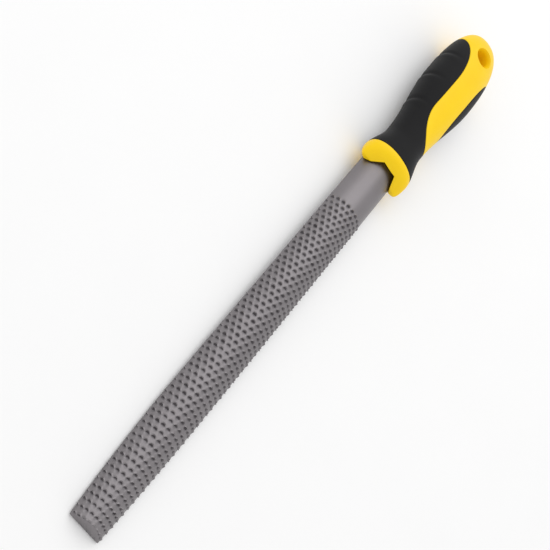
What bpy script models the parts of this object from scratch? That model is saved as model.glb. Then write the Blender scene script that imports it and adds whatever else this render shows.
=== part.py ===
"""A half-round wood rasp of the 8 inch size, in a two-shot moulded handle.

The frame has +X along the tool to the tip and +Z up out of the round side. The flat side of the blade
lies in the plane Z = 0, and the origin is on that flat, on the bare heel in front of the handle.
"""

import math

import bmesh
import bpy
from mathutils import Vector

MM = 0.001

# Blade: a half-round steel body that narrows to its tip
BLADE_LENGTH = 204 * MM
BLADE_WIDTH = 21 * MM
BLADE_THICKNESS = 7 * MM
EDGE_LAND = 0.5 * MM
TIP_WIDTH = 16.8 * MM
TIP_THICKNESS = 5.6 * MM
TAPER_LENGTH = 80 * MM
TAPER_POWER = 2.2
TIP_SLANT = 0.25
BARE_HEEL = 22 * MM
BARE_TIP = 1.7 * MM
HEEL_SHOWN_FROM = 1.5 * MM
HEEL_DRAWN_IN = 0.94

# Teeth: punched in rows across the blade, each row set half a tooth beside the last
ROW_PITCH = 3.04 * MM
COLUMN_PITCH = 1.45 * MM
BURR_HEIGHT = 0.5 * MM
BURR_LEAN = 0.1 * MM
BURR_BACK = 1.4 * MM
PIT_DEPTH = 0.3 * MM
PIT_LOWEST = 0.4 * MM
PIT_LENGTH = 1.6 * MM

# Tang: the tapered spike behind the heel, which the handle is driven on to
TANG_LENGTH = 52 * MM
TANG_WIDTH = 9 * MM
TANG_HEIGHT = 4.2 * MM
TANG_END_WIDTH = 3.6 * MM
TANG_END_HEIGHT = 2.4 * MM

# Pocket in the collar for the blade's heel, and its rounded mouth
POCKET_CLEARANCE = 0.4 * MM
POCKET_SIDE_ANGLE = math.radians(46)
MOUTH_DEPTH = 2.5 * MM
MOUTH_RIM = 0.8 * MM

# Handle: places along it are measured back from the collar's front, which has walls round the pocket
HANDLE_LENGTH = 104 * MM
AXIS_HEIGHT = 3.4 * MM
LIP_SIDE_WALL = 1.4 * MM
LIP_TOP_WALL = 3.9 * MM
LIP_WIDTH = BLADE_WIDTH + 2 * (POCKET_CLEARANCE + LIP_SIDE_WALL)
LIP_HEIGHT = 2 * (BLADE_THICKNESS + POCKET_CLEARANCE + LIP_TOP_WALL - AXIS_HEIGHT)
COLLAR_SIDE_FLARE = 2.2 * MM
COLLAR_TOP_FLARE = 1.5 * MM
COLLAR_WIDTH = LIP_WIDTH + 2 * COLLAR_SIDE_FLARE
COLLAR_HEIGHT = LIP_HEIGHT + 2 * COLLAR_TOP_FLARE
COLLAR_CREST = 4.4 * MM
NECK_WIDTH = 20.5 * MM
NECK_HEIGHT = 17.2 * MM
NECK_AT = 22.7 * MM
PALM_WIDTH = 29.7 * MM
PALM_HEIGHT = 21.2 * MM
BUTT_LENGTH = 38 * MM
PALM_AT = HANDLE_LENGTH - BUTT_LENGTH
BUTT_POWER = 2.48
OVAL_POWER = 2.16

# Soft grip: how deep it lies in the core, and its borders seen from above; the blade's heel ends in front of it
GRIP_DEPTH = 2.2 * MM
GRIP_FRONT = 8.9 * MM
HEEL_TO_GRIP = 1.9 * MM
HEEL_REACH = GRIP_FRONT - HEEL_TO_GRIP
GRIP_BORDER = -4.6 * MM
SWEEP_RADIUS = 22.5 * MM
SWEEP_CENTRE = 45.7 * MM
TONGUE_FROM_END = 12.6 * MM
TONGUE_RUN = 25.6 * MM
TONGUE_DROP = 11 * MM
TONGUE_END = HANDLE_LENGTH - TONGUE_FROM_END
TONGUE_BEND = TONGUE_END - TONGUE_RUN
PAD_BORDER = 8.7 * MM
PAD_BEHIND_SWEEP = 11.2 * MM
PAD_FROM_END = 18.8 * MM
PAD_RISE = 6.5 * MM
PAD_POWER = 2.6
PAD_FRONT = SWEEP_CENTRE - SWEEP_RADIUS + PAD_BEHIND_SWEEP
PAD_HALF_LENGTH = (HANDLE_LENGTH - PAD_FROM_END - PAD_FRONT) / 2
PAD_CENTRE = PAD_FRONT + PAD_HALF_LENGTH

# Hanging hole through the butt, from the round side to the flat side
HOLE_DIAMETER = 8 * MM
HOLE_FROM_END = 14 * MM
HOLE_FLARE = 1.2 * MM

# Gap left between two pieces that touch on the real tool
CLEARANCE = 0.3 * MM

# How finely curves are cut into facets
AROUND = 32
HOLE_SIDES = 20
BORDER_STEPS = 9
NOSE_STEPS = 5
WAIST_STEPS = 6
SWELL_STEPS = 8
BUTT_STEPS = 8
BUTT_LAST_TURN = math.radians(87)
POCKET_EDGE_STEP = 2.5 * MM
MOUTH_STEPS = 3
SHARP_FROM = math.radians(30)

# Places along X: the origin is on the heel, this far in front of the collar
ORIGIN_FROM_COLLAR = 14 * MM
COLLAR_X = -ORIGIN_FROM_COLLAR
TIP_X = COLLAR_X + BLADE_LENGTH
TEETH_FROM = COLLAR_X + BARE_HEEL
TEETH_TO = TIP_X - BARE_TIP
HEEL_FRONT = COLLAR_X + HEEL_SHOWN_FROM
HEEL_END = COLLAR_X - HEEL_REACH
TANG_END = HEEL_END - TANG_LENGTH
ROWS = 2 * round((TEETH_TO - TEETH_FROM) / ROW_PITCH / 2)


def clear_scene():
    for item in list(bpy.data.objects):
        bpy.data.objects.remove(item, do_unlink=True)


def material(name, colour, roughness, metallic):
    """One plain finish: a shader with the colour that the piece shows."""
    finish = bpy.data.materials.new(name)
    finish.use_nodes = True
    shader = finish.node_tree.nodes["Principled BSDF"]
    shader.inputs["Base Color"].default_value = (*colour, 1)
    shader.inputs["Roughness"].default_value = roughness
    shader.inputs["Metallic"].default_value = metallic
    return finish


def solid(name, mesh, finish=None):
    """Turns an edit mesh into an object. One without a finish is a cutter, which is not part of the tool."""
    bmesh.ops.recalc_face_normals(mesh, faces=mesh.faces)
    data = bpy.data.meshes.new(name)
    mesh.to_mesh(data)
    mesh.free()
    item = bpy.data.objects.new(name, data)
    bpy.context.scene.collection.objects.link(item)
    if finish:
        data.materials.append(finish)
        data.shade_smooth()
        data.set_sharp_from_angle(angle=SHARP_FROM)
    else:
        item.hide_render = True
        item.display_type = "WIRE"
    return item


def carve(item, operation, tool):
    step = item.modifiers.new(tool.name, "BOOLEAN")
    step.operation = operation
    step.solver = "EXACT"
    step.object = tool


def mix(low, high, share):
    return low + (high - low) * share


def ease(share):
    return 0.5 - 0.5 * math.cos(math.pi * share)


def bridge(mesh, near, far):
    """A band of faces between two closed rows of points."""
    for k in range(len(near)):
        after = (k + 1) % len(near)
        mesh.faces.new((near[k], near[after], far[after], far[k]))


def loft(rings):
    """A closed solid through rings of points that all have the same count."""
    mesh = bmesh.new()
    made = [[mesh.verts.new(point) for point in ring] for ring in rings]
    for near, far in zip(made, made[1:]):
        bridge(mesh, near, far)
    mesh.faces.new(made[0])
    mesh.faces.new(made[-1])
    return mesh


# Blade

def section(x):
    """Half width, edge land, radius and half angle of the round side at one place along the blade."""
    share = max(0.0, (x - (TIP_X - TAPER_LENGTH)) / TAPER_LENGTH) ** TAPER_POWER
    thickness = mix(BLADE_THICKNESS, TIP_THICKNESS, share)
    half = mix(BLADE_WIDTH, TIP_WIDTH, share) / 2
    land = EDGE_LAND * thickness / BLADE_THICKNESS
    rise = thickness - land
    radius = (half ** 2 + rise ** 2) / (2 * rise)
    return half, land, radius, math.atan2(half, radius - rise)


def round_point(x, across, height=0.0):
    """A point on the round side, or above it: across runs from 0 at one edge to 1 at the other."""
    half, land, radius, reach = section(x)
    angle = mix(-reach, reach, across)
    out = radius + height
    return Vector((x, out * math.sin(angle), land - radius * math.cos(reach) + out * math.cos(angle)))


def flat_point(x, across, height=0.0):
    half = section(x)[0]
    return Vector((x, mix(-half, half, across), -height))


def even_count(length):
    return 2 * round(length / COLUMN_PITCH / 2)


def toothed_net(mesh, place, columns):
    """A net of diamonds with a punched tooth in each, and plain half diamonds along its border.

    A tooth is a pit that runs out towards the tip and, behind it, the burr that the punch threw up.
    Returns the net's points by row and column.
    """
    points = {}

    def on_net(spot):
        return 0 <= spot[0] <= ROWS and 0 <= spot[1] <= columns

    def row_x(row):
        return mix(TEETH_FROM, TEETH_TO, row / ROWS)

    def point(spot):
        if spot not in points:
            points[spot] = mesh.verts.new(place(row_x(spot[0]), spot[1] / columns))
        return points[spot]

    for row in range(ROWS + 1):
        for column in range(row % 2, columns + 1, 2):
            back, right, front, left = (row - 1, column), (row, column + 1), (row + 1, column), (row, column - 1)
            around = (back, right, front, left)
            if all(on_net(spot) for spot in around):
                spine = [point(front)]
                for forward, height in ((PIT_LENGTH, 0), (PIT_LOWEST, -PIT_DEPTH),
                                        (-BURR_LEAN, BURR_HEIGHT), (-BURR_BACK, 0)):
                    spine.append(mesh.verts.new(place(row_x(row) + forward, column / columns, height)))
                spine.append(point(back))
                for side in (left, right):
                    for near, far in zip(spine, spine[1:]):
                        mesh.faces.new((near, far, point(side)))
            else:
                for first, second in zip(around, around[1:] + around[:1]):
                    if on_net(first) and on_net(second):
                        mesh.faces.new((point(first), point(second), point((row, column))))
    return points


def tang_ring(x, width, height, outline):
    """The tang's section, with one point in line with each point of the heel's outline."""
    ring = []
    for corner in outline:
        away = Vector((corner.y, corner.z - AXIS_HEIGHT))
        reach = min(width / 2 / max(abs(away.x), 1e-9), height / 2 / max(abs(away.y), 1e-9))
        ring.append(Vector((x, away.x * reach, AXIS_HEIGHT + away.y * reach)))
    return ring


def make_blade(finish):
    mesh = bmesh.new()
    half, land, radius, reach = section(TEETH_FROM)
    round_columns = even_count(2 * reach * radius)
    flat_columns = even_count(2 * half)
    round_net = toothed_net(mesh, round_point, round_columns)
    flat_net = toothed_net(mesh, flat_point, flat_columns)
    round_shares = [column / round_columns for column in range(round_columns + 1)]
    flat_shares = [column / flat_columns for column in range(flat_columns, -1, -1)]

    # The narrow land along both edges
    for row in range(ROWS):
        for round_edge, flat_edge in ((0, 0), (round_columns, flat_columns)):
            mesh.faces.new((round_net[row, round_edge], round_net[row + 1, round_edge],
                            flat_net[row + 1, flat_edge], flat_net[row, flat_edge]))

    # The tip's end face leans back from the flat side
    last = [round_net[ROWS, column] for column in range(round_columns + 1)]
    last += [flat_net[ROWS, column] for column in range(flat_columns, -1, -1)]
    end = [round_point(TIP_X, share) for share in round_shares] + [flat_point(TIP_X, share) for share in flat_shares]
    for corner in end:
        corner.x -= TIP_SLANT * corner.z
    end = [mesh.verts.new(corner) for corner in end]
    bridge(mesh, last, end)
    mesh.faces.new(end)

    # The bare heel: the round side in strips, the flat side as one large facet and two fans
    outline = [round_point(HEEL_FRONT, share) for share in round_shares]
    outline += [flat_point(HEEL_FRONT, 1), flat_point(HEEL_FRONT, 0)]
    heel = [mesh.verts.new(corner) for corner in outline]
    first = [round_net[0, column] for column in range(round_columns + 1)]
    under = [flat_net[0, column] for column in range(flat_columns + 1)]
    upper, right, left = heel[:-2], heel[-2], heel[-1]
    for k in range(round_columns):
        mesh.faces.new((first[k], first[k + 1], upper[k + 1], upper[k]))
    mesh.faces.new((first[0], under[0], left, upper[0]))
    mesh.faces.new((first[-1], under[-1], right, upper[-1]))
    centre = flat_columns // 2
    mesh.faces.new((left, right, under[centre]))
    for k in range(flat_columns):
        mesh.faces.new((under[k], under[k + 1], left if k < centre else right))

    # The part of the heel inside the handle, which draws in a little, its square shoulder and the tang
    middle = Vector((0, 0, AXIS_HEIGHT))
    drawn_in = [middle + (corner - middle) * HEEL_DRAWN_IN for corner in outline]
    rings = [[Vector((HEEL_END, corner.y, corner.z)) for corner in drawn_in],
             tang_ring(HEEL_END, TANG_WIDTH, TANG_HEIGHT, outline),
             tang_ring(TANG_END, TANG_END_WIDTH, TANG_END_HEIGHT, outline)]
    near = heel
    for ring in rings:
        far = [mesh.verts.new(corner) for corner in ring]
        bridge(mesh, near, far)
        near = far
    mesh.faces.new(near)
    return solid("rasp_blade", mesh, finish)


# Handle

def handle_size(back):
    """Half width and half height of the handle's oval section at a distance behind the collar's front."""
    def blend(lip, collar, neck, palm):
        if back < COLLAR_CREST:
            return mix(lip, collar, math.sqrt(1 - (1 - back / COLLAR_CREST) ** 2))
        if back < NECK_AT:
            return mix(collar, neck, ease((back - COLLAR_CREST) / (NECK_AT - COLLAR_CREST)))
        if back < PALM_AT:
            return mix(neck, palm, ease((back - NECK_AT) / (PALM_AT - NECK_AT)))
        share = (back - PALM_AT) / (HANDLE_LENGTH - PALM_AT)
        return palm * max(0.0, 1 - share ** BUTT_POWER) ** (1 / BUTT_POWER)

    return (blend(LIP_WIDTH, COLLAR_WIDTH, NECK_WIDTH, PALM_WIDTH) / 2,
            blend(LIP_HEIGHT, COLLAR_HEIGHT, NECK_HEIGHT, PALM_HEIGHT) / 2)


def stations():
    """Places along the handle, closer together where its outline turns."""
    nose = [COLLAR_CREST * (1 - math.cos(math.pi / 2 * k / NOSE_STEPS)) for k in range(NOSE_STEPS)]
    waist = [mix(COLLAR_CREST, NECK_AT, k / WAIST_STEPS) for k in range(WAIST_STEPS)]
    swell = [mix(NECK_AT, PALM_AT, k / SWELL_STEPS) for k in range(SWELL_STEPS)]
    turns = [BUTT_LAST_TURN * k / BUTT_STEPS for k in range(BUTT_STEPS + 1)]
    butt = [mix(PALM_AT, HANDLE_LENGTH, math.sin(turn) ** (2 / BUTT_POWER)) for turn in turns]
    return nose + waist + swell + butt


def oval(back, half_width, half_height):
    """A ring of points round the handle's axis."""
    ring = []
    for k in range(AROUND):
        turn = 2 * math.pi * k / AROUND
        side, up = math.cos(turn), math.sin(turn)
        y = half_width * math.copysign(abs(side) ** (2 / OVAL_POWER), side)
        z = half_height * math.copysign(abs(up) ** (2 / OVAL_POWER), up)
        ring.append(Vector((COLLAR_X - back, y, AXIS_HEIGHT + z)))
    return ring


def handle_form():
    return loft([oval(back, *handle_size(back)) for back in stations()])


def inner_form(depth):
    """The handle's form set in by a depth, from inside the collar to inside the butt."""
    first = GRIP_FRONT / 2
    last = mix(TONGUE_END, HANDLE_LENGTH, 0.5)
    backs = [first] + [back for back in stations() if first < back < last] + [last]
    return loft([oval(back, *(size - depth for size in handle_size(back))) for back in backs])


def column(outline):
    """An outline seen from above, as (distance back, y) pairs, made into an upright block."""
    tall = PALM_HEIGHT
    return loft([[Vector((COLLAR_X - back, y, AXIS_HEIGHT + z)) for back, y in outline] for z in (-tall, tall)])


def grip_outline(grow):
    """The sleeve from above: all round the neck, then an S to a tongue along the left side."""
    beyond = PALM_WIDTH
    radius = SWEEP_RADIUS - grow
    middle = GRIP_BORDER + SWEEP_RADIUS
    outline = [(GRIP_FRONT - grow, -beyond), (GRIP_FRONT - grow, beyond), (SWEEP_CENTRE - radius, beyond)]
    for k in range(BORDER_STEPS + 1):
        turn = math.pi / 2 * k / BORDER_STEPS
        outline.append((SWEEP_CENTRE - radius * math.cos(turn), middle - radius * math.sin(turn)))
    for k in range(BORDER_STEPS + 1):
        turn = math.pi / 2 * k / BORDER_STEPS
        outline.append((TONGUE_BEND + (TONGUE_END - TONGUE_BEND + grow) * math.sin(turn),
                        GRIP_BORDER - TONGUE_DROP + (TONGUE_DROP + grow) * math.cos(turn)))
    outline.append((TONGUE_END + grow, -beyond))
    return outline


def pad_outline(grow):
    """The palm pad from above: a long lens on the right side."""
    beyond = PALM_WIDTH
    half = PAD_HALF_LENGTH + grow
    top = PAD_BORDER + PAD_RISE
    outline = [(PAD_CENTRE + half, beyond), (PAD_CENTRE - half, beyond)]
    for k in range(2 * BORDER_STEPS + 1):
        turn = math.pi * k / (2 * BORDER_STEPS)
        along, deep = -math.cos(turn), math.sin(turn)
        along = math.copysign(abs(along) ** (2 / PAD_POWER), along)
        outline.append((PAD_CENTRE + half * along, top - (PAD_RISE + grow) * deep ** (2 / PAD_POWER)))
    return outline


def pocket_outline():
    """The pocket across the handle: flat under the blade, with a flat top and two slanted sides over it."""
    half, land, radius, reach = section(HEEL_FRONT)
    side = half + POCKET_CLEARANCE
    floor = -POCKET_CLEARANCE
    top = BLADE_THICKNESS + POCKET_CLEARANCE
    lean = Vector((math.sin(POCKET_SIDE_ANGLE), math.cos(POCKET_SIDE_ANGLE)))
    far = radius + POCKET_CLEARANCE + lean.y * (BLADE_THICKNESS - radius)
    top_side = (far - lean.y * top) / lean.x
    side_top = (far - lean.x * side) / lean.y
    half_outline = [(side, floor), (side, side_top), (top_side, top)]
    return half_outline + [(-y, z) for y, z in reversed(half_outline)]


def make_pocket():
    """The pocket and its mouth, which rounds in from the collar's lip."""
    corners = [Vector((y, z - AXIS_HEIGHT)) for y, z in pocket_outline()]
    fine = []
    for corner, after in zip(corners, corners[1:] + corners[:1]):
        steps = max(1, round((after - corner).length / POCKET_EDGE_STEP))
        fine += [corner.lerp(after, k / steps) for k in range(steps)]
    lip = Vector((LIP_WIDTH / 2 - MOUTH_RIM, LIP_HEIGHT / 2 - MOUTH_RIM))
    mouth = []
    for point in fine:
        size = (abs(point.x / lip.x) ** OVAL_POWER + abs(point.y / lip.y) ** OVAL_POWER) ** (1 / OVAL_POWER)
        mouth.append(point / min(1.0, size))
    depths = [MOUTH_DEPTH * k / MOUTH_STEPS for k in range(MOUTH_STEPS + 1)]
    rings = []
    for back in [-CLEARANCE] + depths + [HEEL_REACH + CLEARANCE]:
        share = min(1.0, max(0.0, back / MOUTH_DEPTH))
        inset = 1 - (1 - share) ** 2
        ring = [wide.lerp(tight, inset) for wide, tight in zip(mouth, fine)]
        rings.append([Vector((COLLAR_X - back, point.x, AXIS_HEIGHT + point.y)) for point in ring])
    return solid("pocket_cutter", loft(rings))


def make_socket():
    """The hole that the tang is driven into, a clearance larger all round."""
    rings = []
    for x, width, height in ((HEEL_END + CLEARANCE, TANG_WIDTH, TANG_HEIGHT),
                             (TANG_END - CLEARANCE, TANG_END_WIDTH, TANG_END_HEIGHT)):
        y, z = width / 2 + CLEARANCE, height / 2 + CLEARANCE
        rings.append([Vector((x, side * y, AXIS_HEIGHT + up * z))
                      for side, up in ((1, 1), (-1, 1), (-1, -1), (1, -1))])
    return solid("socket_cutter", loft(rings))


def make_hole():
    """The hanging hole, which flares where it comes out on each side."""
    back = HANDLE_LENGTH - HOLE_FROM_END
    face = handle_size(back)[1]
    radius = HOLE_DIAMETER / 2
    upper = [(face - 2 * HOLE_FLARE, radius), (face - HOLE_FLARE, radius + HOLE_FLARE / 4),
             (face, radius + HOLE_FLARE), (face + 2 * HOLE_FLARE, radius + 3 * HOLE_FLARE)]
    profile = [(-z, size) for z, size in reversed(upper)] + upper
    turns = [2 * math.pi * k / HOLE_SIDES for k in range(HOLE_SIDES)]
    rings = []
    for z, size in profile:
        rings.append([Vector((COLLAR_X - back + size * math.cos(turn), size * math.sin(turn), AXIS_HEIGHT + z))
                      for turn in turns])
    return solid("hole_cutter", loft(rings))


def make_soft_piece(name, outline, finish):
    """A soft piece is the handle's skin inside its outline, down to the depth that it is moulded to."""
    piece = solid(name, handle_form(), finish)
    carve(piece, "INTERSECT", solid(name + "_border", column(outline(0))))
    carve(piece, "DIFFERENCE", solid(name + "_bed", inner_form(GRIP_DEPTH)))
    return piece


def make_core(finish):
    core = solid("handle_core", handle_form(), finish)
    land = solid("core_land", inner_form(GRIP_DEPTH + CLEARANCE))
    for name, outline in (("sleeve_recess", grip_outline), ("pad_recess", pad_outline)):
        recess = solid(name, column(outline(CLEARANCE)))
        carve(recess, "DIFFERENCE", land)
        carve(core, "DIFFERENCE", recess)
    carve(core, "DIFFERENCE", make_pocket())
    carve(core, "DIFFERENCE", make_socket())
    carve(core, "DIFFERENCE", make_hole())
    return core


clear_scene()
steel = material("tool_steel", (0.31, 0.305, 0.30), 0.42, 1.0)
hard_plastic = material("yellow_hard_plastic", (0.97, 0.60, 0.012), 0.35, 0.0)
soft_plastic = material("black_soft_plastic", (0.016, 0.016, 0.018), 0.55, 0.0)
make_blade(steel)
make_core(hard_plastic)
make_soft_piece("grip_sleeve", grip_outline, soft_plastic)
make_soft_piece("palm_pad", pad_outline, soft_plastic)
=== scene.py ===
import math

import bmesh
import bpy
import numpy as np
from mathutils import Matrix


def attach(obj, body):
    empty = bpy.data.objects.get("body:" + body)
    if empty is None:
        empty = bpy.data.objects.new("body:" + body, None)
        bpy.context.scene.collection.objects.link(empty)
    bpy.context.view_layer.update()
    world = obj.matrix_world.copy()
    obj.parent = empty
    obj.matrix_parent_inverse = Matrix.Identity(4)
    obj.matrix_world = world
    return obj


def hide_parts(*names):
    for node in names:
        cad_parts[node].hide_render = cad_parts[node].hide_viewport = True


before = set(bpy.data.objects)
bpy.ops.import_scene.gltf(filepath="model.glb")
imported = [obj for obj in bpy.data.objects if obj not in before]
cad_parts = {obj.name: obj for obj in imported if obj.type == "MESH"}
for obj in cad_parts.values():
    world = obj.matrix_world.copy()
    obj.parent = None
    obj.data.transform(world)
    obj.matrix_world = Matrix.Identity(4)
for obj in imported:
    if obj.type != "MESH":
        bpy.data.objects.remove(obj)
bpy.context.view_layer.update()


# Blade: one forging of carbon tool steel with a round and a flat side, ground to a satin finish.
# A pointed punch throws up each tooth and leaves a pit on the tip side of it. The teeth stop short of the
# bare heel, and behind the heel a tapered tang is driven into the handle.
MM = 0.001
BLADE_WIDTH = 20.3 * MM
BLADE_THICKNESS = 7 * MM
EDGE_LAND = 0.5 * MM
TIP_WIDTH = 15.6 * MM
TIP_THICKNESS = 5.55 * MM
TIP_LIFT = 1.6 * MM
TAPER_LENGTH = 82 * MM
TAPER_POWER = 2.4
TIP_SLANT = 0.26
TIP_EDGE = 0.2 * MM
COLLAR_X = -14 * MM
TIP_X = 190 * MM
FIRST_ROW = 11.9 * MM
ROW_PITCH = 3.04 * MM
ROWS = 59
COLUMN_PITCH = 1.45 * MM
ROUND_COLUMNS = 18
FLAT_COLUMNS = 14
BURR_HEIGHT = 0.5 * MM
BURR_HALF = 1.15 * MM
BURR_BACK = 0.78 * MM
BURR_CURVE = 1.3
FACE_RUN = 0.3 * MM
PIT_DEPTH = 0.4 * MM
PIT_HALF = 1.4 * MM
PIT_LENGTH = 2.2 * MM
PIT_NARROWING = 0.5
CREST_ARCH = 0.5 / MM
ARCH_HALF = 1.1 * MM
ARCH_FADE = 2 * MM
PUNCH_SCATTER = 0.08
TOOTH_STATIONS = np.array([-0.78, -0.45, -0.2, 0, 0.3, 0.75, 1.3, 1.8, 2.2]) * MM
HEEL_STATIONS = 14
BARE_BEFORE_ROW = 2 * MM
ROUND_STEPS = 5
FLAT_STEPS = 4
WELD_DISTANCE = 0.001 * MM
BLADE_CREASE = 50
HEEL_REACH = 7 * MM
TANG_LENGTH = 52 * MM
TANG_SIZE = (9 * MM, 4.2 * MM)
TANG_END_SIZE = (3.6 * MM, 2.4 * MM)
AXIS_HEIGHT = 3.4 * MM


def linear(hex_colour):
    """An sRGB hex colour as the linear values that shaders use."""
    shares = [int(hex_colour[k:k + 2], 16) / 255 for k in (1, 3, 5)]
    return (*(s / 12.92 if s <= 0.04045 else ((s + 0.055) / 1.055) ** 2.4 for s in shares), 1)


def add(tree, kind, inputs=None, **settings):
    """Adds one node with its settings; each input gets a value or a link from another node's socket."""
    made = tree.nodes.new(kind)
    for name, value in settings.items():
        setattr(made, name, value)
    for socket, value in (inputs or {}).items():
        if isinstance(value, bpy.types.NodeSocket):
            tree.links.new(value, made.inputs[socket])
        else:
            made.inputs[socket].default_value = value
    return made


def blade_section(x):
    """Half width, lift of the flat side, edge land, and radius and half angle of the round side."""
    share = np.clip((x - (TIP_X - TAPER_LENGTH)) / TAPER_LENGTH, 0, None) ** TAPER_POWER
    thickness = BLADE_THICKNESS + (TIP_THICKNESS - BLADE_THICKNESS) * share
    half = (BLADE_WIDTH + (TIP_WIDTH - BLADE_WIDTH) * share) / 2
    land = EDGE_LAND * thickness / BLADE_THICKNESS
    rise = thickness - land
    radius = (half ** 2 + rise ** 2) / (2 * rise)
    return half, TIP_LIFT * share, land, radius, np.arctan2(half, radius - rise)


def round_side(x, share, up):
    """Points on or above the round side: share runs from 0 at the left edge to 1 at the right one."""
    half, lift, land, radius, reach = blade_section(x)
    angle = reach * (2 * share - 1)
    out = radius + up
    centre = lift + land - radius * np.cos(reach)
    return np.stack([x, out * np.sin(angle), centre + out * np.cos(angle)], axis=-1)


def flat_side(x, share, up):
    """Points on or under the flat side, with the same shares from edge to edge."""
    half, lift, land, radius, reach = blade_section(x)
    return np.stack([x, half * (2 * share - 1), lift - up], axis=-1)


def punched(ahead, beside):
    """Height over the skin of one tooth and its pit, by the distance ahead of its crest and beside it."""
    burr = BURR_HEIGHT * np.clip(1 - (beside / BURR_HALF) ** 2, 0, None)
    burr = burr * np.clip(1 + ahead / BURR_BACK, 0, 1) ** BURR_CURVE
    run = np.clip(ahead / PIT_LENGTH, 0, 1)
    half = PIT_HALF * (1 - PIT_NARROWING * run)
    pit = -PIT_DEPTH * np.clip(1 - (beside / half) ** 2, 0, None) * (1 - run)
    return burr + (pit - burr) * np.clip(ahead / FACE_RUN, 0, 1)


def toothed_side(columns, steps, side, end_x, to_the_edge):
    """One side of the blade from the heel to the tip: its points and their heights over the plain skin.

    Every row of teeth has its own stations, which bend with the arched crests.
    """
    luck = np.random.default_rng(columns)
    across = np.linspace(0, columns, columns * steps + 1)
    heel = np.linspace(COLLAR_X - HEEL_REACH, FIRST_ROW - BARE_BEFORE_ROW, HEEL_STATIONS)
    xs = [np.full(len(across), x) for x in heel]
    ups = [np.zeros(len(across)) for x in heel]
    for row in range(ROWS):
        first = 1 - row % 2
        tooth = first + 2 * np.round((across - first) / 2).astype(int)
        beside = (across - tooth) * COLUMN_PITCH
        pushed = luck.normal(0, PUNCH_SCATTER * MM, columns + 1)[tooth]
        pushed = pushed * np.clip(1 - np.abs(across - tooth), 0, 1)
        driven = 1 + luck.normal(0, PUNCH_SCATTER, columns + 1)[tooth]
        if not to_the_edge:
            driven = driven * ((tooth > 0) & (tooth < columns))
        arch = CREST_ARCH * np.clip(np.abs(beside), 0, ARCH_HALF) ** 2 + pushed
        for ahead in TOOTH_STATIONS:
            x = FIRST_ROW + row * ROW_PITCH + ahead + arch * (1 - abs(ahead) / ARCH_FADE)
            cut_off = np.clip(x - end_x, 0, None)
            xs.append(x - cut_off)
            ups.append(punched(ahead - cut_off, beside) * driven)
    xs.append(end_x + 0 * across)
    ups.append(ups[-1])
    return side(np.array(xs), across / columns, np.array(ups)), np.array(ups)


def tang_ring(x, size, outline):
    """The tang's section, with one point in line with each point of the heel's outline."""
    away = outline[:, 1:] - [0, AXIS_HEIGHT]
    reach = np.min(np.array(size) / 2 / np.maximum(np.abs(away), 1e-9), axis=1)
    return np.column_stack([np.full(len(away), x), away * reach[:, None] + [0, AXIS_HEIGHT]])


def grid_mesh(name, rings, caps):
    """A mesh of quads through closed rings of points, with a cap on each end if asked."""
    count, around = rings.shape[:2]
    index = np.arange(count * around).reshape(count, around)
    far = np.roll(index, -1, axis=1)
    quads = np.stack([index[:-1], far[:-1], far[1:], index[1:]], axis=-1).reshape(-1, 4)
    mesh = bpy.data.meshes.new(name)
    ends = [index[0].tolist(), index[-1].tolist()] if caps else []
    mesh.from_pydata(rings.reshape(-1, 3), [], quads.tolist() + ends)
    return mesh


def shown(mesh, finish, sharp):
    """Cleans a mesh, shades it smooth except at edges sharper than an angle, and puts it on show."""
    work = bmesh.new()
    work.from_mesh(mesh)
    bmesh.ops.remove_doubles(work, verts=work.verts, dist=WELD_DISTANCE)
    bmesh.ops.dissolve_degenerate(work, edges=work.edges, dist=WELD_DISTANCE)
    kept = {}
    for face in work.faces:
        kept.setdefault(frozenset(face.verts), []).append(face)
    inner_walls = [face for faces in kept.values() if len(faces) > 1 for face in faces]
    bmesh.ops.delete(work, geom=inner_walls, context="FACES")
    bmesh.ops.recalc_face_normals(work, faces=work.faces)
    work.to_mesh(mesh)
    work.free()
    mesh.materials.append(finish)
    mesh.shade_smooth()
    mesh.set_sharp_from_angle(angle=math.radians(sharp))
    item = bpy.data.objects.new(mesh.name, mesh)
    bpy.context.scene.collection.objects.link(item)
    return item


# The tip's end face leans back from the flat side and cuts through the last pits; its edge is broken
tip_share = np.linspace(0, 1, ROUND_COLUMNS * ROUND_STEPS + 1)
tip_top = round_side(np.full(len(tip_share), TIP_X), tip_share, 0.0)[:, 2] - TIP_LIFT
round_end = TIP_X - TIP_EDGE - TIP_SLANT * tip_top
round_rows, round_up = toothed_side(ROUND_COLUMNS, ROUND_STEPS, round_side, round_end, True)
flat_rows, flat_up = toothed_side(FLAT_COLUMNS, FLAT_STEPS, flat_side, TIP_X - TIP_EDGE, False)
rings = np.concatenate([round_rows, flat_rows[:, ::-1]], axis=1)
relief = np.concatenate([round_up, flat_up[:, ::-1]], axis=1)
middle = np.array([0, TIP_LIFT + TIP_THICKNESS / 2])
end = rings[-1].copy()
end[:, 1:] = middle + (end[:, 1:] - middle) * (1 - 2 * TIP_EDGE / TIP_THICKNESS)
end[:, 0] = TIP_X - TIP_SLANT * (end[:, 2] - TIP_LIFT)
tang_start = COLLAR_X - HEEL_REACH
tang = [tang_ring(tang_start - TANG_LENGTH, TANG_END_SIZE, rings[0]),
        tang_ring(tang_start, TANG_SIZE, rings[0])]
blade_mesh = grid_mesh("rasp_blade_steel", np.concatenate([tang, rings, end[None]]), True)
relief = np.concatenate([relief[:2] * 0, relief, relief[:1] * 0]) / BURR_HEIGHT
blade_mesh.attributes.new("punch_relief", "FLOAT", "POINT").data.foreach_set("value", relief.ravel())

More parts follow.
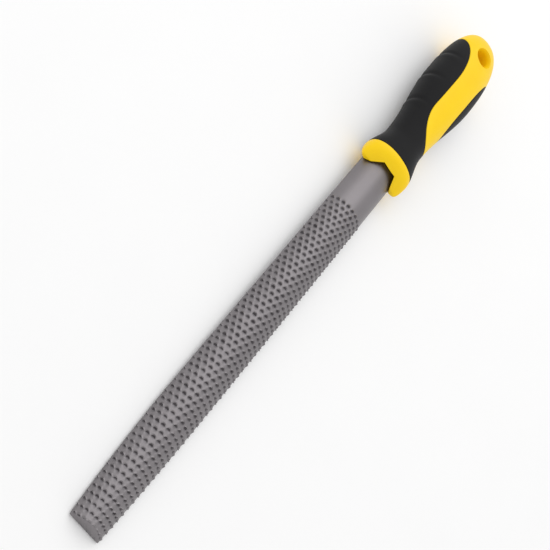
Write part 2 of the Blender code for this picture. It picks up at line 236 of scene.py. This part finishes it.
# Carbon steel, ground along its length and then punched: a dull satin grey with fine streaks along it,
# with painted shade that darkens the colour down in the pits and a painted highlight that brightens it on
# the crests of the teeth.
tool_steel = bpy.data.materials.new("ground_carbon_steel")
tool_steel.use_nodes = True
tree = tool_steel.node_tree
shader = tree.nodes["Principled BSDF"]
shader.inputs["Metallic"].default_value = 1
place = add(tree, "ShaderNodeTexCoord").outputs["Object"]
along = add(tree, "ShaderNodeMapping", {"Vector": place, "Scale": (0.02, 1, 1)}).outputs["Vector"]
streaks = add(tree, "ShaderNodeTexNoise",
              {"Vector": along, "Scale": 1 / (0.3 * MM), "Detail": 3}).outputs["Fac"]
clouds = add(tree, "ShaderNodeTexNoise",
             {"Vector": place, "Scale": 1 / (14 * MM), "Detail": 4}).outputs["Fac"]
grit = add(tree, "ShaderNodeTexNoise",
           {"Vector": place, "Scale": 1 / (0.2 * MM), "Detail": 2}).outputs["Fac"]
height = add(tree, "ShaderNodeAttribute", attribute_name="punch_relief").outputs["Fac"]
# Painted shade: the steel's colour is darkened towards #747174 down in the pits of the teeth
painted_pit_shade = add(tree, "ShaderNodeMapRange",
           {"Value": height, "From Min": 0, "From Max": -0.8}).outputs["Result"]
# Painted highlight: the steel's colour is brightened towards #9A9697 on the raised crests of the teeth
painted_crest_highlight = add(tree, "ShaderNodeMapRange",
            {"Value": height, "From Min": 0.5, "From Max": 1.1}).outputs["Result"]
ground = add(tree, "ShaderNodeMix",
             {0: clouds, 6: linear("#7C787A"), 7: linear("#878385")}, data_type="RGBA").outputs[2]
with_painted_pit_shade = add(tree, "ShaderNodeMix",
             {0: painted_pit_shade, 6: ground, 7: linear("#747174")}, data_type="RGBA").outputs[2]
with_painted_highlight = add(tree, "ShaderNodeMix",
             {0: painted_crest_highlight, 6: with_painted_pit_shade, 7: linear("#9A9697")}, data_type="RGBA").outputs[2]
tree.links.new(with_painted_highlight, shader.inputs["Base Color"])
rough = add(tree, "ShaderNodeMapRange", {"Value": streaks, "To Min": 0.34, "To Max": 0.5}).outputs["Result"]
tree.links.new(rough, shader.inputs["Roughness"])
surface = add(tree, "ShaderNodeMath", {0: streaks, 1: grit}, operation="ADD").outputs["Value"]
bump = add(tree, "ShaderNodeBump", {"Height": surface, "Strength": 0.25, "Distance": 0.02 * MM})
tree.links.new(bump.outputs["Normal"], shader.inputs["Normal"])

blade = shown(blade_mesh, tool_steel, BLADE_CREASE)
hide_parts("rasp_blade")
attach(blade, "root")


# Handle core: hard yellow plastic, the first shot of the moulding, driven on to the tang. It has a
# fat collar round the blade's heel, shallow beds for the two soft pieces, the stripe between them, and a
# butt with a hole to hang it by.
POCKET_CLEARANCE = 0.4 * MM
POCKET_SIDE_ANGLE = math.radians(46)
MOUTH_SIDE = 1.9 * MM
MOUTH_TOP = 9 * MM
MOUTH_TOP_WIDTH = 8 * MM
MOUTH_FLARE = 0.05 * MM
MOUTH_DEPTH = 5.5 * MM
HANDLE_LENGTH = 103.95 * MM
LIP_WIDTH = BLADE_WIDTH + 2.5 * MM
LIP_HEIGHT = 3.8 * MM
COLLAR_WIDTH = LIP_WIDTH + 5 * MM
CHEEK_POWER = 2.6
BROW_LENGTH = 8 * MM
COLLAR_HEIGHT = 2 * (BLADE_THICKNESS + POCKET_CLEARANCE + 5.4 * MM - AXIS_HEIGHT)
COLLAR_CREST = 6 * MM
NECK_WIDTH = 20.5 * MM
NECK_HEIGHT = 17.2 * MM
NECK_AT = 22.7 * MM
PALM_WIDTH = 29.5 * MM
PALM_HEIGHT = 21.2 * MM
BUTT_LENGTH = 38 * MM
PALM_AT = HANDLE_LENGTH - BUTT_LENGTH
BUTT_POWER = 2.48
BUTT_LEFT_POWER = 2.8
OVAL_POWER = 2.16
BED_DEPTH = 2.3 * MM
GRIP_FRONT = 8.9 * MM
GRIP_BORDER = -4.6 * MM
SWEEP_RADIUS = 22.5 * MM
SWEEP_CENTRE = 45.7 * MM
TONGUE_RUN = 25.6 * MM
TONGUE_DROP = 11 * MM
TONGUE_END = HANDLE_LENGTH - 12.6 * MM
TONGUE_BEND = TONGUE_END - TONGUE_RUN
PAD_BORDER = 8.7 * MM
PAD_RISE = 6.5 * MM
PAD_POWER = 2.6
PAD_FRONT = SWEEP_CENTRE - SWEEP_RADIUS + 11.2 * MM
PAD_HALF_LENGTH = (HANDLE_LENGTH - 18.8 * MM - PAD_FRONT) / 2
PAD_CENTRE = PAD_FRONT + PAD_HALF_LENGTH
BORDER_GAP = 0.05 * MM
BORDER_ROUND = np.array([0.0, 0.1, 0.28, 0.55]) * MM
BORDER_DIP = np.array([0.2, 0.07, 0.015, 0.0]) * MM
HOLE_DIAMETER = 8 * MM
HOLE_FROM_END = 14 * MM
HOLE_RIM = 11 * MM
HOLE_FLARE = 3 * MM
HOLE_CURVE = 1.5
HOLE_OVERRUN = 1.4
HOLE_RINGS = 9
HOLE_POINTS = 64
SOCKET_CLEARANCE = 0.3 * MM
MEAN_RADIUS = 12 * MM
NOSE_RINGS = 18
HALVINGS = 40
CORE_CREASE = 40
LIMIT_SAMPLES = 40001
PATH_SAMPLES = 8001
STATION_STEP = 0.8 * MM
STATION_MARGIN = 0.05 * MM
RING_POINTS = 112
STRIPE_POINTS = 40
PAD_POINTS = 30


def ease(share):
    """A soft step from 0 to 1."""
    return 0.5 - 0.5 * np.cos(np.pi * np.clip(share, 0, 1))


def handle_size(back):
    """How far the handle reaches to its right, its left and up, at distances behind the collar's front."""
    nose = np.clip(back / COLLAR_CREST, 0, 1)
    cheek = (1 - (1 - nose) ** CHEEK_POWER) ** (1 / CHEEK_POWER)
    brow = np.sin(np.pi / 2 * np.clip(back / BROW_LENGTH, 0, 1))
    waist = ease((back - COLLAR_CREST) / (NECK_AT - COLLAR_CREST))
    swell = ease((back - NECK_AT) / (PALM_AT - NECK_AT))
    run = np.clip((back - PALM_AT) / BUTT_LENGTH, 0, 1)
    sizes = []
    for lip, collar, neck, palm, bulge, power in (
            (LIP_WIDTH, COLLAR_WIDTH, NECK_WIDTH, PALM_WIDTH, cheek, BUTT_POWER),
            (LIP_WIDTH, COLLAR_WIDTH, NECK_WIDTH, PALM_WIDTH, cheek, BUTT_LEFT_POWER),
            (LIP_HEIGHT, COLLAR_HEIGHT, NECK_HEIGHT, PALM_HEIGHT, brow, BUTT_POWER)):
        size = lip + (collar - lip) * bulge + (neck - collar) * waist + (palm - neck) * swell
        sizes.append(size * np.clip(1 - run ** power, 0, 1) ** (1 / power) / 2)
    return sizes


def on_handle(back, turn, depth):
    """Points at a turn round the handle, from its right side over the top, and a depth under its skin."""
    right, left, high = handle_size(back)
    side, up = np.cos(turn), np.sin(turn)
    wide = np.where(side < 0, left, right)
    y = np.clip(wide - depth, 0, None) * np.sign(side) * np.abs(side) ** (2 / OVAL_POWER)
    z = np.clip(high - depth, 0, None) * np.sign(up) * np.abs(up) ** (2 / OVAL_POWER)
    return np.stack(np.broadcast_arrays(COLLAR_X - back, y, AXIS_HEIGHT + z), axis=-1)


def turn_at(back, y):
    """The turn on the upper side at which the handle's skin is at y."""
    right, left, high = handle_size(back)
    share = np.clip(y / np.maximum(np.where(y < 0, left, right), MM), -1, 1)
    return np.arccos(np.sign(share) * np.abs(share) ** (OVAL_POWER / 2))


def sleeve_turn(back, grow):
    """The turn of the sleeve's upper border: 0 where it goes all round, half a turn past its end."""
    radius = SWEEP_RADIUS - grow
    arc = np.sqrt(np.clip(radius ** 2 - (back - SWEEP_CENTRE) ** 2, 0, None))
    sweep = GRIP_BORDER + SWEEP_RADIUS - arc
    bend = np.clip(1 - ((back - TONGUE_BEND) / (TONGUE_RUN + grow)) ** 2, 0, None)
    tongue = GRIP_BORDER - TONGUE_DROP + (TONGUE_DROP + grow) * np.sqrt(bend)
    before = [back < end for end in (SWEEP_CENTRE - radius, SWEEP_CENTRE, TONGUE_BEND, TONGUE_END + grow)]
    y = np.select(before, [PALM_WIDTH, sweep, GRIP_BORDER + grow, tongue], -PALM_WIDTH)
    return turn_at(back, y)


def pad_turn(back, grow):
    """The turn of the pad's border on the upper side, 0 where there is no pad."""
    share = np.clip(np.abs(back - PAD_CENTRE) / (PAD_HALF_LENGTH + grow), 0, 1)
    y = PAD_BORDER + PAD_RISE - (PAD_RISE + grow) * (1 - share ** PAD_POWER) ** (1 / PAD_POWER)
    return np.where(share < 1, turn_at(back, y), 0)


def limits(turn, grow, low, high):
    """The places along the handle where a border leaves its low value and reaches its high one."""
    fine = np.linspace(0, HANDLE_LENGTH, LIMIT_SAMPLES)
    inside = (turn(fine, grow) > low + 1e-6) & (turn(fine, grow) < high - 1e-6)
    return fine[inside][0], fine[inside][-1]


def spread(low, high, count, low_edge, high_edge):
    """Turns from low to high, closer together next to a border, and how far each point dips to round it."""
    shares = np.linspace(0, 1, count)
    turns = low + (high - low) * shares
    dips = np.zeros(count)
    for k, (away, dip) in enumerate(zip(BORDER_ROUND, BORDER_DIP)):
        step = min(away / MEAN_RADIUS, (high - low) * shares[k])
        if low_edge:
            turns[k], dips[k] = low + step, dip
        if high_edge:
            turns[-1 - k], dips[-1 - k] = high - step, dip
    return turns, dips


def stations(first, last):
    """Places along the handle, closer together where its outline or a border turns across it."""
    fine = np.linspace(0, HANDLE_LENGTH, PATH_SAMPLES)
    paths = [on_handle(fine, turn, 0.0) for turn in (0, np.pi / 2, sleeve_turn(fine, 0), pad_turn(fine, 0))]
    steps = np.max([np.linalg.norm(np.diff(path, axis=0), axis=1) for path in paths], axis=0)
    measure = np.concatenate([[0], np.cumsum(steps)])
    places = np.interp(np.arange(0, measure[-1], STATION_STEP), measure, fine)
    return places[(places > first + STATION_MARGIN) & (places < last - STATION_MARGIN)]


bed_from, bed_to = limits(sleeve_turn, BORDER_GAP, 0, np.pi)
pad_from, pad_to = limits(pad_turn, BORDER_GAP, 0, np.pi)
bed_front = GRIP_FRONT - BORDER_GAP
ring_turns = np.linspace(0, 2 * np.pi, RING_POINTS)


def core_ring(back, dip=0.0):
    """One ring round the core: the stripe above, the sleeve's bed, the stripe below and the pad's bed."""
    sleeve, pad = sleeve_turn(back, BORDER_GAP), pad_turn(back, BORDER_GAP)
    in_bed = bed_front < back < bed_to
    all_round = back < bed_from
    in_pad = pad_from < back < pad_to
    bed = BED_DEPTH if in_bed else dip
    stripe, dips = spread(pad, sleeve, STRIPE_POINTS, in_pad, in_bed and not all_round)
    if all_round:
        dips = dips + bed
    under = BED_DEPTH if in_pad else dips[0]
    rest = sleeve + (2 * np.pi - 2 * sleeve) * ring_turns / (2 * np.pi)
    pad_turns = np.linspace(-pad, pad, PAD_POINTS)
    turns = np.concatenate([stripe, rest, 2 * np.pi - stripe[::-1], pad_turns])
    depths = np.concatenate([dips, np.full(len(rest), bed), dips[::-1], np.full(PAD_POINTS, under)])
    return on_handle(np.full(len(turns), back), turns, depths)


def pocket_outlines():
    """The pocket at its mouth and deep inside: a flat floor, two slanted sides and a flat top."""
    half, lift, land, radius, reach = blade_section(np.array(COLLAR_X))
    side, floor, top = half + POCKET_CLEARANCE, -POCKET_CLEARANCE, BLADE_THICKNESS + POCKET_CLEARANCE
    lean_y, lean_z = math.sin(POCKET_SIDE_ANGLE), math.cos(POCKET_SIDE_ANGLE)
    far = radius + POCKET_CLEARANCE + lean_z * (BLADE_THICKNESS - radius)
    inside = [(side, floor), (side, (far - lean_y * side) / lean_z), ((far - lean_z * top) / lean_y, top)]
    side = side + MOUTH_FLARE
    at_mouth = [(side, floor), (side, MOUTH_SIDE), (MOUTH_TOP_WIDTH / 2, MOUTH_TOP)]
    outlines = [right + [(-y, z) for y, z in reversed(right)] for right in (at_mouth, inside)]
    return np.array(outlines) - [0, AXIS_HEIGHT]


def reach_of(outline, ways):
    """How far an outline is from the axis in each of the ways given."""
    reaches = np.full(len(ways), np.inf)
    for start, stop in zip(outline, np.roll(outline, -1, axis=0)):
        edge = stop - start
        out = np.array([edge[1], -edge[0]])
        facing = ways @ out
        reach = (start @ out) / np.where(np.abs(facing) < 1e-12, 1e-12, facing)
        reaches = np.where((reach > 0) & (reach < reaches), reach, reaches)
    return reaches


mouth, pocket = pocket_outlines()
ways = core_ring(COLLAR_CREST)[:, 1:] - [0, AXIS_HEIGHT]
ways = ways / np.linalg.norm(ways, axis=1)[:, None]
for corner in mouth:
    ways[np.argmax(ways @ corner)] = corner / np.linalg.norm(corner)
tight, wide = reach_of(pocket, ways), reach_of(mouth, ways)


def inner_ring(back, reach):
    """A ring of points at a distance behind the collar's front and a reach from the axis in each way."""
    return np.column_stack([COLLAR_X - back + 0 * reach, ways * reach[:, None] + [0, AXIS_HEIGHT]])


def nose_reach(back):
    """How far the collar's nose is from the axis in each of the ways."""
    right, left, high = handle_size(back)
    shares = np.abs(ways[:, 0] / right) ** OVAL_POWER + np.abs(ways[:, 1] / high) ** OVAL_POWER
    return shares ** (-1 / OVAL_POWER)


# The pocket runs straight out through the nose: each way has its own place where the two meet
mouth_back, beyond = np.zeros(len(ways)), np.full(len(ways), COLLAR_CREST)
for halving in range(HALVINGS):
    between = (mouth_back + beyond) / 2
    clear = nose_reach(between) > wide
    mouth_back, beyond = np.where(clear, mouth_back, between), np.where(clear, between, beyond)

# From the end of the tang's socket out to the mouth of the pocket, then round the nose and down the handle
pocket_floor = HEEL_REACH + SOCKET_CLEARANCE
slopes = np.maximum(np.abs(ways), 1e-9)
socket_end = np.min((np.array(TANG_END_SIZE) / 2 + SOCKET_CLEARANCE) / slopes, axis=1)
socket_start = np.min((np.array(TANG_SIZE) / 2 + SOCKET_CLEARANCE) / slopes, axis=1)
core_rings = [inner_ring(pocket_floor + TANG_LENGTH, socket_end),
              inner_ring(pocket_floor, socket_start),
              inner_ring(pocket_floor, tight),
              inner_ring(MOUTH_DEPTH, tight),
              inner_ring(mouth_back, wide)]
for share in 1 - np.cos(np.linspace(0, np.pi / 2, NOSE_RINGS)):
    nose_back = mouth_back + (COLLAR_CREST - mouth_back) * share
    core_rings.append(inner_ring(nose_back, np.maximum(nose_reach(nose_back), wide)))
front = [(back, 0.0) for back in stations(COLLAR_CREST, bed_front - BORDER_ROUND[-1])]
front += [(bed_front - away, dip) for away, dip in zip(BORDER_ROUND[::-1], BORDER_DIP[::-1])]
core_rings += [core_ring(back, dip) for back, dip in front]
steps = [bed_front, bed_from, bed_to, pad_from, pad_to]
both_sides = [step + nudge for step in steps for nudge in (-1e-7, 1e-7)]
places = [*stations(bed_front, HANDLE_LENGTH), *both_sides[1:]]
core_rings += [core_ring(back) for back in sorted(places)] + [core_ring(HANDLE_LENGTH)]
core_mesh = grid_mesh("handle_core_plastic", np.array(core_rings), True)

# Polypropylene from a polished mould, warm yellow: an even colour with a soft sheen, a very slight mottle
# and the faint spark-eroded grain of the mould.
hard_plastic = bpy.data.materials.new("moulded_polypropylene")
hard_plastic.use_nodes = True
tree = hard_plastic.node_tree
shader = tree.nodes["Principled BSDF"]
shader.inputs["IOR"].default_value = 1.49
shader.inputs["Specular IOR Level"].default_value = 0.25
place = add(tree, "ShaderNodeTexCoord").outputs["Object"]
mottle = add(tree, "ShaderNodeTexNoise",
             {"Vector": place, "Scale": 1 / (9 * MM), "Detail": 3}).outputs["Fac"]
grain = add(tree, "ShaderNodeTexNoise",
            {"Vector": place, "Scale": 1 / (0.35 * MM), "Detail": 2}).outputs["Fac"]
yellow = add(tree, "ShaderNodeMix",
             {0: mottle, 6: linear("#FCCE08"), 7: linear("#FFD80E")}, data_type="RGBA").outputs[2]
tree.links.new(yellow, shader.inputs["Base Color"])
rough = add(tree, "ShaderNodeMapRange", {"Value": grain, "To Min": 0.34, "To Max": 0.46}).outputs["Result"]
tree.links.new(rough, shader.inputs["Roughness"])
bump = add(tree, "ShaderNodeBump", {"Height": grain, "Strength": 0.12, "Distance": 0.03 * MM})
tree.links.new(bump.outputs["Normal"], shader.inputs["Normal"])

core = shown(core_mesh, hard_plastic, CORE_CREASE)

# The hanging hole is cut through the butt and flares where it comes out
hole_back = HANDLE_LENGTH - HOLE_FROM_END
face = handle_size(hole_back)[2]
flare = np.linspace(0, HOLE_OVERRUN, HOLE_RINGS)
upper = np.column_stack([face + HOLE_FLARE * (flare - 1),
                         HOLE_DIAMETER / 2 + (HOLE_RIM - HOLE_DIAMETER) / 2 * flare ** HOLE_CURVE])
profile = np.concatenate([upper[::-1] * [-1, 1], upper])
round_hole = np.linspace(0, 2 * np.pi, HOLE_POINTS, endpoint=False)
hole_rings = [np.column_stack([COLLAR_X - hole_back + size * np.cos(round_hole), size * np.sin(round_hole),
                               np.full(HOLE_POINTS, AXIS_HEIGHT + z)]) for z, size in profile]
cutter = shown(grid_mesh("hole_cutter", np.array(hole_rings), True), hard_plastic, CORE_CREASE)
cut = core.modifiers.new("hanging_hole", "BOOLEAN")
cut.operation = "DIFFERENCE"
cut.solver = "EXACT"
cut.object = cutter
carved = bpy.data.meshes.new_from_object(core.evaluated_get(bpy.context.evaluated_depsgraph_get()))
core.modifiers.clear()
core.data = carved
carved.set_sharp_from_angle(angle=math.radians(CORE_CREASE))
bpy.data.objects.remove(cutter)
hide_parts("handle_core")
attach(core, "root")


# Grip sleeve: soft black thermoplastic rubber, moulded over the core in a second shot. It runs all round
# the neck and then down the left side as a tongue, with three finger grooves pressed into that side.
SOFT_DEPTH = 2.2 * MM
GROOVES_AT = np.array([43, 59.5, 76.5]) * MM
GROOVE_DEPTH = 0.5 * MM
GROOVE_WIDTH = 1.1 * MM
GROOVE_LIP = 0.16 * MM
GROOVE_LIP_AT = 2.2
GROOVE_LIP_WIDTH = 1.6
GROOVE_SPAN = 1.3
SOFT_CREASE = 45


def finger_grooves(back, turns):
    """How far the finger grooves sink the skin, and their raised lips on the collar's side."""
    reach = ease(1 - np.abs(turns - np.pi) / GROOVE_SPAN)
    away = (back - GROOVES_AT)[:, None] / GROOVE_WIDTH
    lip = GROOVE_LIP * np.exp(-((away + GROOVE_LIP_AT) / GROOVE_LIP_WIDTH) ** 2)
    shape = GROOVE_DEPTH * np.exp(-away ** 2) - lip
    return shape.sum(axis=0) * reach


def plain_skin(back, turns):
    """A skin that nothing sinks."""
    return 0 * turns


def soft_ring(back, low, high, count, at_border, form, dip=0.0):
    """A closed ring of a soft piece: its skin from border to border, then back along its underside."""
    turns, dips = spread(low, high, count, at_border, at_border)
    skin = on_handle(np.full(count, back), turns, dips + dip + form(back, turns))
    return np.concatenate([skin, on_handle(np.full(count, back), turns[::-1], np.full(count, SOFT_DEPTH))])


sleeve_from, sleeve_to = limits(sleeve_turn, -BORDER_GAP, 0, np.pi)
whole = 2 * np.pi
sleeve_rings = [soft_ring(GRIP_FRONT, 0, whole, RING_POINTS, False, plain_skin, SOFT_DEPTH)]
sleeve_rings += [soft_ring(GRIP_FRONT + away, 0, whole, RING_POINTS, False, plain_skin, dip)
                 for away, dip in zip(BORDER_ROUND, BORDER_DIP)]
sleeve_rings += [soft_ring(back, 0, whole, RING_POINTS, False, finger_grooves)
                 for back in [*stations(GRIP_FRONT + BORDER_ROUND[-1], sleeve_from), sleeve_from]]
for back in [sleeve_from, *stations(sleeve_from, sleeve_to), sleeve_to]:
    turn = float(sleeve_turn(np.array(back), -BORDER_GAP))
    sleeve_rings.append(soft_ring(back, turn, whole - turn, RING_POINTS, True, finger_grooves))
sleeve_rings.append(soft_ring(sleeve_to, np.pi, np.pi, RING_POINTS, False, plain_skin, BORDER_DIP[0]))
sleeve_mesh = grid_mesh("grip_sleeve_rubber", np.array(sleeve_rings), False)

# Thermoplastic rubber from an eroded mould: near black and matt, with a fine even grain that scatters the
# light, so that edges which face away show a soft grey rim.
soft_rubber = bpy.data.materials.new("moulded_thermoplastic_rubber")
soft_rubber.use_nodes = True
tree = soft_rubber.node_tree
shader = tree.nodes["Principled BSDF"]
shader.inputs["IOR"].default_value = 1.5
shader.inputs["Specular IOR Level"].default_value = 0.14
shader.inputs["Sheen Weight"].default_value = 0.06
shader.inputs["Sheen Roughness"].default_value = 0.5
place = add(tree, "ShaderNodeTexCoord").outputs["Object"]
mottle = add(tree, "ShaderNodeTexNoise",
             {"Vector": place, "Scale": 1 / (7 * MM), "Detail": 3}).outputs["Fac"]
grain = add(tree, "ShaderNodeTexNoise",
            {"Vector": place, "Scale": 1 / (0.3 * MM), "Detail": 3}).outputs["Fac"]
black = add(tree, "ShaderNodeMix",
            {0: mottle, 6: linear("#0E0E0F"), 7: linear("#141416")}, data_type="RGBA").outputs[2]
tree.links.new(black, shader.inputs["Base Color"])
rough = add(tree, "ShaderNodeMapRange", {"Value": grain, "To Min": 0.5, "To Max": 0.72}).outputs["Result"]
tree.links.new(rough, shader.inputs["Roughness"])
bump = add(tree, "ShaderNodeBump", {"Height": grain, "Strength": 0.3, "Distance": 0.05 * MM})
tree.links.new(bump.outputs["Normal"], shader.inputs["Normal"])

sleeve = shown(sleeve_mesh, soft_rubber, SOFT_CREASE)
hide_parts("grip_sleeve")
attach(sleeve, "root")


# Palm pad: a separate island of the same soft black rubber, on the right side of the handle.
# It is moulded into its own bed in the core in the same second shot as the sleeve.
pad_start, pad_end = limits(pad_turn, -BORDER_GAP, 0, np.pi)
pad_rings = []
for back in [pad_start, *stations(pad_start, pad_end), pad_end]:
    turn = float(pad_turn(np.array(back), -BORDER_GAP))
    pad_rings.append(soft_ring(back, -turn, turn, PAD_POINTS, True, plain_skin))
pad_rings.insert(0, soft_ring(pad_start, 0, 0, PAD_POINTS, False, plain_skin, BORDER_DIP[0]))
pad_rings.append(soft_ring(pad_end, 0, 0, PAD_POINTS, False, plain_skin, BORDER_DIP[0]))
pad = shown(grid_mesh("palm_pad_rubber", np.array(pad_rings), False), soft_rubber, SOFT_CREASE)
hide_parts("palm_pad")
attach(pad, "root")


# Stage: a plain floor of matt white paper that the tool lies on, by its tip and its collar,
# in the soft light of a white studio with one large lamp over the handle's end.
FLOOR_HALF = 3
FLOOR_GAP = 0.3 * MM
LAMP_AIM = np.array([0.04, 0, 0])
collar_low = AXIS_HEIGHT - COLLAR_HEIGHT / 2
tip_low = TIP_LIFT - BURR_HEIGHT
lean = math.atan2(tip_low - collar_low, TIP_X + COLLAR_CREST - COLLAR_X)
floor_mesh = bpy.data.meshes.new("floor")
corners = [(FLOOR_HALF * x, FLOOR_HALF * y, 0) for x, y in ((-1, -1), (1, -1), (1, 1), (-1, 1))]
floor_mesh.from_pydata(corners, [], [(0, 1, 2, 3)])
floor = bpy.data.objects.new("floor", floor_mesh)
floor.rotation_euler = (0, -lean, 0)
floor.location = (COLLAR_X - COLLAR_CREST, 0, collar_low - FLOOR_GAP)
bpy.context.scene.collection.objects.link(floor)
paper = bpy.data.materials.new("matt_white_paper")
paper.use_nodes = True
tree = paper.node_tree
place = add(tree, "ShaderNodeTexCoord").outputs["Object"]
fibres = add(tree, "ShaderNodeTexNoise",
             {"Vector": place, "Scale": 1 / (40 * MM), "Detail": 2}).outputs["Fac"]
white = add(tree, "ShaderNodeMix",
            {0: fibres, 6: linear("#FCFCFC"), 7: linear("#FEFEFE")}, data_type="RGBA").outputs[2]
shader = tree.nodes["Principled BSDF"]
tree.links.new(white, shader.inputs["Base Color"])
shader.inputs["Roughness"].default_value = 0.9
shader.inputs["Specular IOR Level"].default_value = 0.1
floor_mesh.materials.append(paper)

# The studio is plain white where it is seen or mirrored, and lights the tool a little less than that
world = bpy.data.worlds.new("studio")
bpy.context.scene.world = world
world.use_nodes = True
tree = world.node_tree
rays = add(tree, "ShaderNodeLightPath").outputs
mirrored = add(tree, "ShaderNodeMath", {0: rays["Is Glossy Ray"], 1: rays["Is Transmission Ray"]},
               operation="MAXIMUM").outputs["Value"]
seen = add(tree, "ShaderNodeMath", {0: rays["Is Camera Ray"], 1: mirrored},
           operation="MAXIMUM").outputs["Value"]
strength = add(tree, "ShaderNodeMapRange",
               {"Value": seen, "To Min": 0.84, "To Max": 1.0}).outputs["Result"]
tree.links.new(strength, tree.nodes["Background"].inputs["Strength"])
tree.nodes["Background"].inputs["Color"].default_value = (1, 1, 1, 1)


def soft_box(name, towards, distance, size, power):
    """A rectangular lamp that faces the middle of the tool from a direction."""
    lamp = bpy.data.lights.new(name, "AREA")
    lamp.shape = "RECTANGLE"
    lamp.size, lamp.size_y = size
    lamp.energy = power
    item = bpy.data.objects.new(name, lamp)
    way = np.array(towards) / np.linalg.norm(towards)
    item.location = way * distance + LAMP_AIM
    level = np.cross([0, 0, 1], way)
    level = level / np.linalg.norm(level)
    axes = np.column_stack([level, np.cross(way, level), way])
    item.rotation_euler = Matrix(axes.tolist()).to_euler()
    bpy.context.scene.collection.objects.link(item)


soft_box("key", towards=(-0.518, -0.234, 0.822), distance=1.1, size=(1.2, 1.0), power=3.0)


# Camera: the photograph's place and lens, as found from the rows of teeth. The focal length and the
# picture's width are in pixels of the photograph, and the three axes are those of the picture.
SENSOR_WIDTH = 36
FOCAL_PIXELS = 1148.4
PICTURE_PIXELS = 550
CAMERA_PLACE = (0.30397, -0.16901, 0.3697)
PICTURE_RIGHT = np.array([-0.5503, 0.5656, 0.6142])
PICTURE_DOWN = np.array([0.6550, 0.7486, -0.1026])
PICTURE_FORWARD = np.array([-0.5178, 0.3459, -0.7824])
camera_data = bpy.data.cameras.new("camera")
camera_data.sensor_width = SENSOR_WIDTH
camera_data.lens = FOCAL_PIXELS * SENSOR_WIDTH / PICTURE_PIXELS
camera = bpy.data.objects.new("camera", camera_data)
axes = np.column_stack([PICTURE_RIGHT, -PICTURE_DOWN, -PICTURE_FORWARD])
camera.matrix_world = Matrix.Translation(CAMERA_PLACE) @ Matrix(axes.tolist()).to_4x4()
bpy.context.scene.collection.objects.link(camera)
bpy.context.scene.camera = camera
bpy.context.scene.view_settings.view_transform = "Standard"
